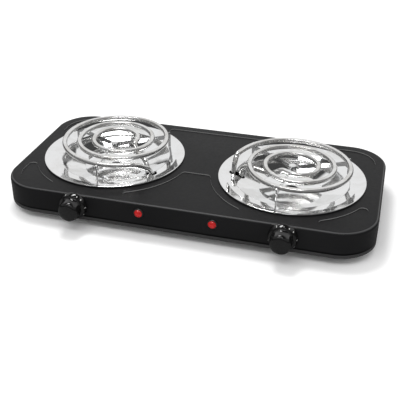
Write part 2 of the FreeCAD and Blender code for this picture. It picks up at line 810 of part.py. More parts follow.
def make_knob(side):
    """Skirted knob, turned about its own Z axis: z = 0 is the skirt's back, which faces the wall."""
    body = new_body("Knob_" + side)
    wall = size("knob_wall")
    depth = size("knob_depth")
    skirt = size("knob_skirt_radius")
    grip = size("knob_grip_radius")
    skirt_z = size("knob_skirt_depth")
    bore = size("shaft_radius") + size("running_fit")
    bore_end = size("shaft_grip") - size("knob_gap") + 0.5
    hub = size("knob_hub_radius")
    profile = [(skirt, 0), (skirt, 1.2), (size("knob_skirt_front"), skirt_z), (grip + 0.6, skirt_z + 1.2),
               (grip, skirt_z + 3), (grip, depth - 3.5), (grip - 1.1, depth - 1.2), (grip - 3.8, depth), (0, depth),
               (0, bore_end), (bore, bore_end), (bore, 0.3), (hub, 0.3), (hub, depth - wall - 1.5),
               (grip - wall - 1.2, depth - wall - 1.5), (grip - wall, depth - wall - 3),
               (grip - wall, skirt_z), (size("knob_skirt_front") - wall, skirt_z - wall), (skirt - wall, 0)]
    add_turned(body, "KnobProfile_" + side, polygon(profile))
    flat = size("shaft_radius") - size("shaft_flat") + size("running_fit")
    fill = polygon([(-bore, flat), (bore, flat), (bore, bore + 0.6), (-bore, bore + 0.6)])
    sketch = new_sketch(body, "KnobFlat_" + side, fill)
    sketch.AttachmentOffset = Placement(Vector(0, 0, 0.3), Rotation())
    add_pad(body, sketch, "shaft_grip - knob_gap")
    x = SIDES[side] * size("knob_x")
    return keep(body, "knob_" + side, Vector(x, front_wall - size("knob_gap"), size("knob_z")), FRONT_FACING)


def make_shaft(side):
    """Thermostat shaft with a flat for the knob, its z = 0 at the wall's front face."""
    body = new_body("Shaft_" + side)
    sketch = circle_sketch(body, "ShaftSection_" + side, "shaft_radius", height="- shaft_inside")
    add_pad(body, sketch, "shaft_inside + shaft_grip")
    edge = size("shaft_radius") - size("shaft_flat")
    flat = polygon([(-5, edge), (5, edge), (5, 5), (-5, 5)])
    cut = new_sketch(body, "ShaftFlat_" + side, flat, height="shaft_grip")
    add_pocket(body, cut, "shaft_grip - knob_gap")
    x = SIDES[side] * size("knob_x")
    return keep(body, "thermostat_shaft_" + side, Vector(x, front_wall, size("knob_z")), FRONT_FACING)


def tag_places():
    """Centres of the four thermostat tags where they leave the thermostats' backs."""
    y = front_inner + size("thermostat_plate") + size("thermostat_depth")
    places = []
    for sign in SIDES.values():
        for shift in (-0.5, 0.5):
            places.append(Vector(sign * size("knob_x") + shift * size("tag_spacing"), y, size("tag_height")))
    return places


def make_thermostat(side):
    """Mounting plate against the wall and a ceramic body behind it, bored for the shaft."""
    body = new_body("Thermostat_" + side)
    x = size("thermostat_width") / 2
    y = size("thermostat_height") / 2
    plate = new_sketch(body, "Plate_" + side, rounded_rectangle(2 * x, 2 * y, 2.0))
    add_pad(body, plate, "thermostat_plate", down=True)
    block = new_sketch(body, "Block_" + side, rounded_rectangle(2 * x - 3, 2 * y - 1, 3.0),
                       height="- thermostat_plate")
    add_pad(body, block, "thermostat_depth", down=True)
    bore = circle_sketch(body, "ShaftBore_" + side, "shaft_radius + running_fit")
    add_pocket(body, bore, "shaft_inside")
    for end, shift in (("a", "-"), ("b", "+")):
        hole = circle_sketch(body, f"ScrewBore_{side}_{end}", "small_screw_radius",
                             centre=(f"{shift} thermostat_screw_spacing / 2", "0 mm"))
        add_pocket(body, hole, "thermostat_plate + 5")
    x_place = SIDES[side] * size("knob_x")
    return keep(body, "thermostat_" + side, Vector(x_place, front_inner, size("knob_z")), FRONT_FACING)


def make_thermostat_fittings():
    head = size("small_head_radius")
    shank = size("small_screw_radius")
    high = size("small_head_height")
    tip = -size("sheet_wall") - size("thermostat_plate") - 4.5
    screw = turned_piece("SmallScrewBlank", [(0, high), (head * 0.6, high), (head, high * 0.5), (head, 0),
                                             (shank, 0), (shank, tip + 0.4), (shank - 0.4, tip), (0, tip)])
    places = []
    for sign in SIDES.values():
        for shift in (-0.5, 0.5):
            places.append((sign * size("knob_x") + shift * size("thermostat_screw_spacing"), front_wall,
                           size("knob_z")))
    keep(copies("ThermostatScrews", screw, places, FRONT_FACING), "thermostat_screws")
    tag = doc.addObject("Part::Box", "TagBlank")
    tag.setExpression("Length", ref("tag_width"))
    tag.setExpression("Width", ref("tag_length"))
    tag.setExpression("Height", ref("tag_sheet"))
    doc.recompute()
    corner = Vector(-size("tag_width") / 2, 0, -size("tag_sheet") / 2)
    keep(copies("ThermostatTags", tag, [tuple(p + corner) for p in tag_places()]), "thermostat_tags")


# ---------------------------------------------------------------- indicator lamps

def make_lamp(side):
    """Bezel, lens, neon and push-on clip, each turned about an axis whose z = 0 is the wall's front."""
    place = Vector(SIDES[side] * size("lamp_x"), front_wall, size("lamp_z"))
    depth = size("lamp_bezel_depth")
    barrel = size("lamp_barrel_radius")
    hollow = barrel - size("lamp_wall")
    tail = -size("lamp_barrel_length")
    rim = size("lamp_bezel_radius")
    lens = size("lamp_lens_radius")
    bezel = turned_piece("Bezel_" + side, [(hollow, tail), (barrel, tail), (barrel, 0), (rim, 0),
                                           (rim, depth * 0.6), (rim - 0.6, depth), (hollow, depth)])
    keep(bezel, "lamp_bezel_" + side, place, FRONT_FACING)
    front = depth + size("lamp_lens_depth")
    body = new_body("Lens_" + side)
    spigot = hollow - 0.05
    inner = depth - size("lamp_spigot")
    edge = depth + 0.6
    ball = (lens ** 2 + (front - edge) ** 2) / (2 * (front - edge))
    half = math.asin(lens / ball) / 2
    crown = Vector(ball * math.sin(half), front - ball + ball * math.cos(half), 0)
    corners = [(0, front), (0, inner), (spigot, inner), (spigot, depth), (lens, depth), (lens, edge)]
    sides = [Part.LineSegment(Vector(*a, 0), Vector(*b, 0)) for a, b in zip(corners, corners[1:])]
    dome = Part.Arc(Vector(lens, edge, 0), crown, Vector(0, front, 0))
    add_turned(body, "LensProfile_" + side, sides + [dome])
    keep(body, "lamp_lens_" + side, place, FRONT_FACING)
    neon = size("neon_radius")
    neon_front = inner - 0.3
    neon_back = neon_front - size("neon_length")
    tube = turned_piece("Neon_" + side, [(0, neon_back), (neon, neon_back), (neon, neon_front - 1),
                                         (neon - 1, neon_front), (0, neon_front)])
    keep(tube, "neon_lamp_" + side, place, FRONT_FACING)
    clip_front = -size("sheet_wall")
    clip_back = clip_front - size("lamp_clip_sheet")
    clip = turned_piece("Clip_" + side, [(barrel, clip_back), (size("lamp_clip_radius"), clip_back),
                                         (size("lamp_clip_radius"), clip_front), (barrel, clip_front)])
    keep(clip, "lamp_clip_" + side, place, FRONT_FACING)


# ---------------------------------------------------------------- supply side

def make_terminal_block():
    body = new_body("TerminalBlock")
    sketch = new_sketch(body, "BlockOutline", rounded_rectangle(size("block_length"), size("block_width"), 1.5))
    add_pad(body, sketch, "block_height")
    for i in (-1, 0, 1):
        well = circle_sketch(body, f"ScrewWell{i + 1}", "screw_radius + 0.5", height="block_height",
                             centre=(f"{i} * block_length / 3.4", "0 mm"))
        add_pocket(body, well, "block_height - 5")
    place = Vector(size("block_x"), size("block_y"), base_top)
    keep(body, "terminal_block", place)
    screw = turned_piece("ClampScrewBlank", [(0, 5), (size("screw_radius"), 5), (size("screw_radius"), 9.5),
                                             (0, 9.5)])
    wells = [(size("block_x") + i * size("block_length") / 3.4, size("block_y"), base_top) for i in (-1, 0, 1)]
    keep(copies("ClampScrews", screw, wells), "terminal_block_screws")


def make_gland():
    """Plastic bushing in the back wall; its z = 0 is the wall's outer face."""
    flange = size("gland_flange_radius")
    neck = size("gland_neck_radius")
    bore = size("gland_bore_radius")
    inner = -size("sheet_wall")
    profile = [(bore, size("gland_flange")), (flange - 1, size("gland_flange")),
               (flange, size("gland_flange") - 1), (flange, 0), (neck, 0), (neck, inner),
               (neck + 0.9, inner - 0.2), (neck + 0.2, inner - size("gland_inside")),
               (bore, inner - size("gland_inside"))]
    gland = turned_piece("Gland", profile)
    keep(gland, "cable_gland", Vector(size("gland_x"), back_wall, size("gland_z")), BACK_FACING)


def make_earth_screw():
    head = size("screw_head_radius")
    shank = size("screw_radius")
    ring = base_top + 1.0
    screw = turned_piece("EarthScrew", [(0, base_top - 3), (shank, base_top - 3), (shank, ring), (head, ring),
                                        (head, ring + 1.6), (head * 0.7, ring + 2.4), (0, ring + 2.4)])
    keep(screw, "earth_screw", Vector(size("earth_x"), size("earth_y"), 0))
    body = new_body("EarthTag")
    outline = circle_sketch(body, "EarthTagOutline", "screw_head_radius + 1", height="base_bottom + base_height")
    add_pad(body, outline, "1 mm")
    reach = size("earth_tongue")
    tongue = polygon([(0, -2.5), (reach, -2.5), (reach, 2.5), (0, 2.5)])
    tail = new_sketch(body, "EarthTagTail", tongue, height="base_bottom + base_height")
    add_pad(body, tail, "1 mm")
    hole = circle_sketch(body, "EarthTagHole", "screw_radius", height="base_bottom + base_height")
    add_pocket(body, hole, "2 mm", up=True)
    keep(body, "earth_tag", Vector(size("earth_x"), size("earth_y"), 0))


def make_wires():
    """Insulated wires held between the terminals, laid over the base plate by hand-chosen points."""
    low = base_top + 2.5
    mid = base_top + 6.5
    high = base_top + 10.0
    block_front = size("block_y") - size("block_width") / 2
    block_z = base_top + 7.0
    tag_back = tag_places()[0].y + size("tag_length")
    tags = [Vector(p.x, tag_back, p.z) for p in tag_places()]
    pin_z = size("lead_end") - size("insulator_height") - size("pin_height")
    left_inner, left_outer = lead_end_places("left", pin_z)
    right_inner, right_outer = lead_end_places("right", pin_z)
    earth = Vector(size("earth_x") + size("earth_tongue"), size("earth_y"), base_top + size("wire_radius") + 0.3)

    def under(pin):
        return (pin.x, pin.y, low)

    stub = 6.0
    out = block_front - stub
    supply = [
        [(-12, block_front, block_z), (-12, out, block_z), (-13, 30, low), (-14, 8, low), (-19, -22, low),
         (-34, -52, low), (-72, -63, low), (-106, -66, low), (tags[1].x, -70, 21),
         (tags[1].x, tag_back + stub, tags[1].z), tuple(tags[1])],
        [(-6, block_front, block_z), (-6, out, block_z), (-4, 30, low), (0, 4, low), (12, -30, low),
         (34, -60, low), (72, -67, low), (106, -66, low), (tags[2].x, -70, 21),
         (tags[2].x, tag_back + stub, tags[2].z), tuple(tags[2])],
    ]
    element = [
        [tuple(tags[0]), (tags[0].x, tag_back + stub, tags[0].z), (-136, -66, low + 1), (-120, -57, low),
         (-98, -56, low), (-76, -53, low), under(left_inner), tuple(left_inner)],
        [tuple(tags[3]), (tags[3].x, tag_back + stub, tags[3].z), (136, -66, low + 1), (120, -52, low),
         (90, -41, low), (60, -28, low), under(right_inner), tuple(right_inner)],
    ]
    neutral = [
        [(7, block_front, block_z), (7, out, block_z), (4, 28, mid), (-8, 8, mid), (-26, -7, mid),
         (-45, -19, low + 1), under(left_outer), tuple(left_outer)],
        [(13, block_front, block_z), (13, out, block_z), (18, 34, low), (32, 24, low), (44, 15, low),
         under(right_outer), tuple(right_outer)],
    ]
    block_back = size("block_y") + size("block_width") / 2
    earthed = [[(0, block_back, block_z), (0, block_back + stub, block_z), (-3, 86, earth.z + 1),
                (earth.x + stub, earth.y, earth.z), tuple(earth)]]
    lamp = size("lamp_x")
    z = size("lamp_z")
    neon_back = front_wall + size("neon_length") + size("lamp_spigot") + 0.3 - size("lamp_bezel_depth")
    lamp_back = front_wall + size("lamp_barrel_length") + stub
    tag_side = size("tag_width") / 2
    leads = [
        [(-lamp - 1.2, neon_back, z), (-lamp - 1.2, lamp_back, z), (-lamp - 14, -89, 26), (-90, -88, tags[1].z),
         (tags[1].x + tag_side, tag_back - 4, tags[1].z)],
        [(-lamp + 1.2, neon_back, z), (-lamp + 1.2, lamp_back, z), (-37, -74, high), (-24, -38, high),
         (-9, 0, high), (0, 26, high), (2, out, high + 1), (2, block_front, high + 1)],
        [(lamp + 1.2, neon_back, z), (lamp + 1.2, lamp_back, z), (lamp + 14, -89, 26), (90, -88, tags[2].z),
         (tags[2].x - tag_side, tag_back - 4, tags[2].z)],
        [(lamp - 1.2, neon_back, z), (lamp - 1.2, lamp_back, z), (36, -74, high), (26, -38, high),
         (18, 0, high), (12, 26, high), (10, out, high + 1), (10, block_front, high + 1)],
    ]
    groups = (("supply_wires", supply, "wire_radius"), ("element_wires", element, "wire_radius"),
              ("neutral_wires", neutral, "wire_radius"), ("earth_wire", earthed, "wire_radius"),
              ("lamp_leads", leads, "lamp_lead_radius"))
    for label, routes, radius in groups:
        tubes = [swept_tube(rounded_path(route), size(radius), label) for route in routes]
        keep(solid_piece(label.title().replace("_", ""), Part.Compound(tubes)), label)


# ---------------------------------------------------------------- build, check and write

make_top_housing()
make_base_plate()
make_feet()
make_housing_brackets()
for side in SIDES:
    make_drip_bowl(side)
    make_coil(side)
    make_coil_support(side)
    make_element_bracket(side)
    make_knob(side)
    make_shaft(side)
    make_thermostat(side)
    make_lamp(side)
make_terminals()
make_thermostat_fittings()
make_terminal_block()
make_gland()
make_earth_screw()
make_wires()
doc.recompute()

for item in doc.Objects:
    if "Invalid" in item.State or "Error" in item.State:
        raise ValueError(f"{item.Name} failed: {item.State}")
for node in nodes:
    if node.Shape.isNull() or not node.Shape.isValid():
        raise ValueError(f"{node.Label} has no valid shape")

os.makedirs("parts", exist_ok=True)
for node in nodes:
    node.Shape.exportStep(f"parts/{node.Label}.step")
print(len(nodes), "nodes, frame shift", round(frame_shift, 3))
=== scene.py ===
import json
import math
import bmesh
import bpy
from mathutils import Matrix, Vector


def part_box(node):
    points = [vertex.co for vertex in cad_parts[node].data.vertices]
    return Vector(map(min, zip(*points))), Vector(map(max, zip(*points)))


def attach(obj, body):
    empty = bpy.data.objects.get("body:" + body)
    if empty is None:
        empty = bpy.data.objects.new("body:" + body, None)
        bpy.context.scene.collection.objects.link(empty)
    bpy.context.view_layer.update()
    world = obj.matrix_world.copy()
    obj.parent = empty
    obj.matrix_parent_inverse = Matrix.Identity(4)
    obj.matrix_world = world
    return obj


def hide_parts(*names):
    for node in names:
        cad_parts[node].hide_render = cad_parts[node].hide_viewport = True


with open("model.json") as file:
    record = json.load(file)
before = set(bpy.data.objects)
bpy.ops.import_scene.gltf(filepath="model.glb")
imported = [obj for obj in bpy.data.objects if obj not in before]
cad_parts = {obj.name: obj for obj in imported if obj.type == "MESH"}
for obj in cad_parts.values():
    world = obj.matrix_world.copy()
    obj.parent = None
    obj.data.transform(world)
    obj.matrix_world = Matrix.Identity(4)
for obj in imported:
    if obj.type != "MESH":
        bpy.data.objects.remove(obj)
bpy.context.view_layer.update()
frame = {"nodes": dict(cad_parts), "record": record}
nodes = frame["nodes"]
mm = 0.001
print("frame loaded:", len(nodes), "nodes")

# place and target in metres, lens and sensor in millimetres, roll in degrees
cameraView = {"place": (0.2272, -0.8210, 0.4958), "target": (0.00184, -0.00014, -0.00172),
              "lens": 65.03, "sensor": 36.0, "roll": 0.337, "clipStart": 0.05}


def makeCamera():
    data = bpy.data.cameras.new("camera")
    data.lens = cameraView["lens"]
    data.sensor_width = cameraView["sensor"]
    data.clip_start = cameraView["clipStart"]
    camera = bpy.data.objects.new("camera", data)
    bpy.context.scene.collection.objects.link(camera)
    place = Vector(cameraView["place"])
    along = Vector(cameraView["target"]) - place
    turn = along.to_track_quat("-Z", "Y").to_matrix().to_4x4()
    roll = Matrix.Rotation(math.radians(cameraView["roll"]), 4, "Z")
    camera.matrix_world = Matrix.Translation(place) @ turn @ roll
    bpy.context.scene.camera = camera


makeCamera()
print("camera set")


def startMaterial(name, colour, metallic=0.0, roughness=0.5, specular=0.5, coat=0.0, coatRoughness=0.05):
    material = bpy.data.materials.new(name)
    material.use_nodes = True
    tree = material.node_tree
    shader = tree.nodes["Principled BSDF"]
    shader.inputs["Base Color"].default_value = (*colour, 1.0)
    shader.inputs["Metallic"].default_value = metallic
    shader.inputs["Roughness"].default_value = roughness
    shader.inputs["Specular IOR Level"].default_value = specular
    shader.inputs["Coat Weight"].default_value = coat
    shader.inputs["Coat Roughness"].default_value = coatRoughness
    return material, tree, shader


def addNode(tree, kind, settings=None, values=None):
    node = tree.nodes.new(kind)
    for key, value in (settings or {}).items():
        setattr(node, key, value)
    for key, value in (values or {}).items():
        node.inputs[key].default_value = value
    return node


def objectCoords(tree, stretch=(1, 1, 1), centre=(0, 0, 0)):
    coords = addNode(tree, "ShaderNodeTexCoord")
    mapping = addNode(tree, "ShaderNodeMapping", values={"Scale": stretch})
    mapping.inputs["Location"].default_value = [-c * s for c, s in zip(centre, stretch)]
    tree.links.new(coords.outputs["Object"], mapping.inputs["Vector"])
    return mapping.outputs["Vector"]


def splitVector(tree, vector):
    node = addNode(tree, "ShaderNodeSeparateXYZ")
    tree.links.new(vector, node.inputs["Vector"])
    return node.outputs


def noise(tree, coords, scale, detail=3.0, rough=0.5, distortion=0.0):
    node = addNode(tree, "ShaderNodeTexNoise",
                   values={"Scale": scale, "Detail": detail, "Roughness": rough, "Distortion": distortion})
    tree.links.new(coords, node.inputs["Vector"])
    return node.outputs["Fac"]


def spread(tree, value, fromLow, fromHigh, toLow, toHigh):
    node = addNode(tree, "ShaderNodeMapRange", values={"From Min": fromLow, "From Max": fromHigh,
                                                       "To Min": toLow, "To Max": toHigh})
    tree.links.new(value, node.inputs["Value"])
    return node.outputs["Result"]


def multiply(tree, first, second):
    node = addNode(tree, "ShaderNodeMath", {"operation": "MULTIPLY"})
    tree.links.new(first, node.inputs[0])
    tree.links.new(second, node.inputs[1])
    return node.outputs["Value"]


def mixColours(tree, factor, first, second):
    node = addNode(tree, "ShaderNodeMix", {"data_type": "RGBA"})
    for key, colour in (("A", first), ("B", second)):
        if isinstance(colour, bpy.types.NodeSocket):
            tree.links.new(colour, node.inputs[key])
        else:
            node.inputs[key].default_value = (*colour, 1.0)
    tree.links.new(factor, node.inputs["Factor"])
    return node.outputs["Result"]


def addBump(tree, shader, height, distance, strength=1.0, before=None):
    node = addNode(tree, "ShaderNodeBump", values={"Strength": strength, "Distance": distance})
    tree.links.new(height, node.inputs["Height"])
    if before is not None:
        tree.links.new(before, node.inputs["Normal"])
    tree.links.new(node.outputs["Normal"], shader.inputs["Normal"])
    return node.outputs["Normal"]


# a noise is its scale, detail, roughness and distortion; a range is where a mix starts and ends;
# heights, blurs and depths are in metres
enamelLook = {
    "colour": (0.0070, 0.0070, 0.0074), "worn": (0.0100, 0.0100, 0.0105), "specular": 0.10,
    "clouds": (9.0, 4.0, 0.55), "cloudRange": (0.35, 0.7),
    "specks": (260.0, 2.0, 0.6), "speckRange": (0.3, 0.7), "roughness": (0.31, 0.43),
    "peel": (950.0, 2.0, 0.5), "peelDepth": 0.00005, "peelStrength": 0.35,
    # painted shade: the values on the next line paint the foot of the wall near black, for the shadow in the
    # gap under it
    "hem": 0.0172, "hemBlur": 0.0006, "footShadeColour": (0.001, 0.001, 0.001),  # dark foot of the wall
    # painted highlight: the values on the next two lines paint the bends near the top face lighter, brightest
    # on the upright steps of the panels
    "bendFrom": 0.0434, "bendBlur": 0.0004, "flat": (0.95, 0.985),  # slopes near the top face
    "edge": (0.060, 0.060, 0.061), "stepHighlight": (0.26, 0.26, 0.26), "upright": (0.3, 0.6),
}


def makeEnamel():
    look = enamelLook
    material, tree, shader = startMaterial("enamelledHousing", look["colour"], specular=look["specular"])
    coords = objectCoords(tree)
    clouds = spread(tree, noise(tree, coords, *look["clouds"]), *look["cloudRange"], 0.0, 1.0)
    tone = mixColours(tree, clouds, look["colour"], look["worn"])
    height = splitVector(tree, coords)["Z"]
    slope = splitVector(tree, addNode(tree, "ShaderNodeTexCoord").outputs["Normal"])["Z"]
    # painted highlight: bends of the pressing near the top face are painted lighter, most of all on the
    # panels' upright steps
    high = spread(tree, height, look["bendFrom"], look["bendFrom"] + look["bendBlur"], 0.0, 1.0)
    sloping = spread(tree, slope, *look["flat"], 1.0, 0.0)
    upright = spread(tree, slope, *look["upright"], 1.0, 0.0)
    paintedHighlight = mixColours(tree, upright, look["edge"], look["stepHighlight"])
    toneWithHighlight = mixColours(tree, multiply(tree, high, sloping), tone, paintedHighlight)
    # painted shade: below the hem height the colour goes near black, for the shadow at the foot of the wall
    hem = spread(tree, height, look["hem"] - look["hemBlur"], look["hem"] + look["hemBlur"], 1.0, 0.0)
    tree.links.new(mixColours(tree, hem, toneWithHighlight, look["footShadeColour"]), shader.inputs["Base Color"])
    specks = noise(tree, coords, *look["specks"])
    tree.links.new(spread(tree, specks, *look["speckRange"], *look["roughness"]), shader.inputs["Roughness"])
    addBump(tree, shader, noise(tree, coords, *look["peel"]), look["peelDepth"], look["peelStrength"])
    return material


baseLook = {
    "colour": (0.08, 0.08, 0.082), "roughness": 0.55,
    "clouds": (16.0, 4.0), "dark": (0.022, 0.022, 0.0225), "pale": (0.034, 0.034, 0.0345),
    "specks": 180.0, "speckRange": (0.3, 0.7), "specksRoughness": (0.42, 0.58),
    "grain": 1300.0, "grainDepth": 0.00004, "grainStrength": 0.4,
}


def makeBaseSteel():
    look = baseLook
    material, tree, shader = startMaterial("baseSteel", look["colour"], roughness=look["roughness"])
    coords = objectCoords(tree)
    clouds = noise(tree, coords, *look["clouds"])
    tree.links.new(mixColours(tree, clouds, look["dark"], look["pale"]), shader.inputs["Base Color"])
    specks = noise(tree, coords, look["specks"])
    tree.links.new(spread(tree, specks, *look["speckRange"], *look["specksRoughness"]),
                   shader.inputs["Roughness"])
    addBump(tree, shader, noise(tree, coords, look["grain"]), look["grainDepth"], look["grainStrength"])
    return material


# bright pressed bowl, with faint drawing rings about its centre and a few smudges
chromeLook = {
    "colour": (0.86, 0.865, 0.87), "roughness": 0.07,
    "smudges": (34.0, 4.0, 0.6, 0.8), "smudgeRange": (0.45, 0.75), "smudgeRoughness": (0.05, 0.16),
    "tintRange": (0.4, 0.8), "clean": (0.88, 0.885, 0.89), "dull": (0.78, 0.775, 0.76),
    "rings": {"Scale": 260.0, "Distortion": 0.6, "Detail": 2.0}, "ringDepth": 0.00001, "ringStrength": 0.25,
    "ripple": (26.0, 2.0), "rippleDepth": 0.0012, "rippleStrength": 0.25,
}


def makeChrome(side):
    look = chromeLook
    low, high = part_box("drip_bowl_" + side)
    centre = (low + high) / 2
    material, tree, shader = startMaterial("chromedBowl_" + side, look["colour"], metallic=1.0,
                                           roughness=look["roughness"])
    coords = objectCoords(tree, centre=(centre.x, centre.y, 0.0))
    smudges = noise(tree, coords, *look["smudges"])
    tree.links.new(spread(tree, smudges, *look["smudgeRange"], *look["smudgeRoughness"]),
                   shader.inputs["Roughness"])
    tint = spread(tree, smudges, *look["tintRange"], 0.0, 1.0)
    tree.links.new(mixColours(tree, tint, look["clean"], look["dull"]), shader.inputs["Base Color"])
    rings = addNode(tree, "ShaderNodeTexWave", {"wave_type": "RINGS", "rings_direction": "Z"}, look["rings"])
    tree.links.new(coords, rings.inputs["Vector"])
    ringBump = addBump(tree, shader, rings.outputs["Fac"], look["ringDepth"], look["ringStrength"])
    addBump(tree, shader, noise(tree, coords, *look["ripple"]), look["rippleDepth"], look["rippleStrength"],
            before=ringBump)
    return material


# satin nickel tube with a light heat stain and fine scuffs
sheathLook = {
    "colour": (0.72, 0.72, 0.71), "roughness": 0.27,
    "stains": (42.0, 5.0, 0.6, 0.4), "stainRange": (0.4, 0.75),
    "clean": (0.80, 0.80, 0.795), "stained": (0.60, 0.585, 0.56),
    "scuffs": (240.0, 3.0), "scuffRange": (0.3, 0.7), "scuffRoughness": (0.18, 0.28),
    "grain": (1500.0, 3.0), "grainDepth": 0.00002, "grainStrength": 0.2,
}


def makeSheath():
    look = sheathLook
    material, tree, shader = startMaterial("elementSheath", look["colour"], metallic=1.0,
                                           roughness=look["roughness"])
    coords = objectCoords(tree)
    stains = spread(tree, noise(tree, coords, *look["stains"]), *look["stainRange"], 0.0, 1.0)
    tree.links.new(mixColours(tree, stains, look["clean"], look["stained"]), shader.inputs["Base Color"])
    scuffs = noise(tree, coords, *look["scuffs"])
    tree.links.new(spread(tree, scuffs, *look["scuffRange"], *look["scuffRoughness"]),
                   shader.inputs["Roughness"])
    addBump(tree, shader, noise(tree, coords, *look["grain"]), look["grainDepth"], look["grainStrength"])
    return material


metalLook = {
    "stretch": (1.0, 1.0, 6.0), "clouds": (60.0, 4.0), "cloudRange": (0.35, 0.7), "darker": 0.72,
    "grain": 700.0, "grainRange": (0.3, 0.7), "smoother": 0.75, "rougher": 1.3,
    "finer": 1.6, "grainDepth": 0.00003, "grainStrength": 0.5,
}


def makeMetal(name, colour, roughness):
    look = metalLook
    material, tree, shader = startMaterial(name, colour, metallic=1.0, roughness=roughness)
    coords = objectCoords(tree, stretch=look["stretch"])
    clouds = spread(tree, noise(tree, coords, *look["clouds"]), *look["cloudRange"], 0.0, 1.0)
    darker = tuple(c * look["darker"] for c in colour)
    tree.links.new(mixColours(tree, clouds, colour, darker), shader.inputs["Base Color"])
    grain = noise(tree, coords, look["grain"])
    tree.links.new(spread(tree, grain, *look["grainRange"], roughness * look["smoother"],
                          roughness * look["rougher"]), shader.inputs["Roughness"])
    addBump(tree, shader, noise(tree, coords, look["grain"] * look["finer"]), look["grainDepth"],
            look["grainStrength"])
    return material


plasticLook = {
    "clouds": (70.0, 3.0), "lighter": 1.25, "lift": 0.003,
    "coarser": 4, "grainRange": (0.3, 0.7), "smoother": 0.8, "rougher": 1.25, "grainStrength": 0.4,
}


def makePlastic(name, colour, roughness, grain=1200.0, depth=0.00003):
    look = plasticLook
    material, tree, shader = startMaterial(name, colour, roughness=roughness)
    coords = objectCoords(tree)
    clouds = noise(tree, coords, *look["clouds"])
    lighter = tuple(min(1.0, c * look["lighter"] + look["lift"]) for c in colour)
    tree.links.new(mixColours(tree, clouds, colour, lighter), shader.inputs["Base Color"])
    coarse = noise(tree, coords, grain / look["coarser"])
    tree.links.new(spread(tree, coarse, *look["grainRange"], roughness * look["smoother"],
                          roughness * look["rougher"]), shader.inputs["Roughness"])
    addBump(tree, shader, noise(tree, coords, grain), depth, look["grainStrength"])
    return material


lensLook = {
    "colour": (0.62, 0.008, 0.008), "roughness": 0.10, "coat": 0.6,
    "subsurface": 0.2, "reach": (0.004, 0.0004, 0.0004), "reachScale": 1.0,  # light goes some way in
    "clouds": (300.0, 2.0), "deep": (0.26, 0.003, 0.003), "bright": (0.55, 0.010, 0.010),
    "waves": (520.0, 1.0), "waveDepth": 0.00012, "waveStrength": 0.4,
}


def makeLens():
    look = lensLook
    material, tree, shader = startMaterial("redLens", look["colour"], roughness=look["roughness"],
                                           coat=look["coat"])
    shader.inputs["Subsurface Weight"].default_value = look["subsurface"]
    shader.inputs["Subsurface Radius"].default_value = look["reach"]
    shader.inputs["Subsurface Scale"].default_value = look["reachScale"]
    coords = objectCoords(tree)
    clouds = noise(tree, coords, *look["clouds"])
    tree.links.new(mixColours(tree, clouds, look["deep"], look["bright"]), shader.inputs["Base Color"])
    addBump(tree, shader, noise(tree, coords, *look["waves"]), look["waveDepth"], look["waveStrength"])
    return material


finishes = {
    "enamelled_housing": makeEnamel(),
    "base_steel": makeBaseSteel(),
    "element_sheath": makeSheath(),
    "chromed_support": makeMetal("chromedSupport", colour=(0.80, 0.80, 0.80), roughness=0.16),
    "zinc_steel": makeMetal("zincSteel", colour=(0.56, 0.57, 0.59), roughness=0.34),
    "brass_tag": makeMetal("brassTag", colour=(0.72, 0.52, 0.22), roughness=0.3),
    "white_ceramic": makePlastic("whiteCeramic", colour=(0.80, 0.78, 0.72), roughness=0.55, grain=800.0,
                                 depth=0.00006),
    "knob_plastic": makePlastic("knobPlastic", colour=(0.003, 0.003, 0.003), roughness=0.10, grain=1100.0,
                                depth=0.00001),
    "bezel_plastic": makePlastic("bezelPlastic", colour=(0.012, 0.012, 0.012), roughness=0.3),
    "red_lens": makeLens(),
    "neon_glass": makePlastic("neonGlass", colour=(0.80, 0.74, 0.68), roughness=0.08),
    "foot_rubber": makePlastic("footRubber", colour=(0.022, 0.022, 0.022), roughness=0.75, grain=900.0,
                               depth=0.00008),
    "block_plastic": makePlastic("blockPlastic", colour=(0.72, 0.70, 0.63), roughness=0.45),
    "gland_plastic": makePlastic("glandPlastic", colour=(0.016, 0.016, 0.016), roughness=0.42),
    "supply_insulation": makePlastic("supplyInsulation", colour=(0.20, 0.075, 0.03), roughness=0.42),
    "neutral_insulation": makePlastic("neutralInsulation", colour=(0.03, 0.09, 0.36), roughness=0.42),
    "earth_insulation": makePlastic("earthInsulation", colour=(0.22, 0.42, 0.04), roughness=0.42),
    "lead_insulation": makePlastic("leadInsulation", colour=(0.70, 0.68, 0.62), roughness=0.5),
}
bowlFinish = {side: makeChrome(side) for side in ("left", "right")}
slotOf = {part["node"]: part["material_slot"] for part in frame["record"]["subparts"]}
for name, piece in nodes.items():
    isBowl = name.startswith("drip_bowl")
    finish = bowlFinish[name.rsplit("_", 1)[1]] if isBowl else finishes[slotOf[name]]
    piece.data.materials.clear()
    piece.data.materials.append(finish)
print("finishes on the CAD pieces")


def newPiece(name, shape, finish):
    mesh = bpy.data.meshes.new(name)
    shape.to_mesh(mesh)
    shape.free()
    mesh.materials.append(finish)
    piece = bpy.data.objects.new(name, mesh)
    bpy.context.scene.collection.objects.link(piece)
    return piece


# middle of the skirt's back
def knobPlace(side):
    low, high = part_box("knob_" + side)
    return Vector(((low.x + high.x) / 2, high.y, (low.z + high.z) / 2))


# radius and distance from the skirt's back, in millimetres
knobShape = {
    # from the face's middle to the skirt's foot
    "outside": [(0.0, 22.0), (6.0, 21.9), (9.4, 21.5), (11.3, 20.6), (12.5, 19.2), (13.05, 17.4),
                (13.2, 14.0), (13.3, 10.4), (13.7, 8.8), (14.5, 7.6), (15.6, 7.0), (16.4, 6.75),
                (16.8, 6.2), (17.7, 3.0), (18.15, 1.3), (18.2, 0.4), (17.9, 0.0), (16.9, 0.0)],
    # from there up inside the skirt and down the boss to the bore
    "inside": [(16.2, 2.2), (15.0, 5.0), (11.6, 6.2), (11.2, 17.6), (10.2, 18.6), (6.2, 18.6),
               (5.0, 17.8), (5.0, 0.6), (4.7, 0.3), (3.1, 0.3)],
    "boreSlack": 0.5,
    "steps": 96,
    "weld": 1e-6,  # metres
}


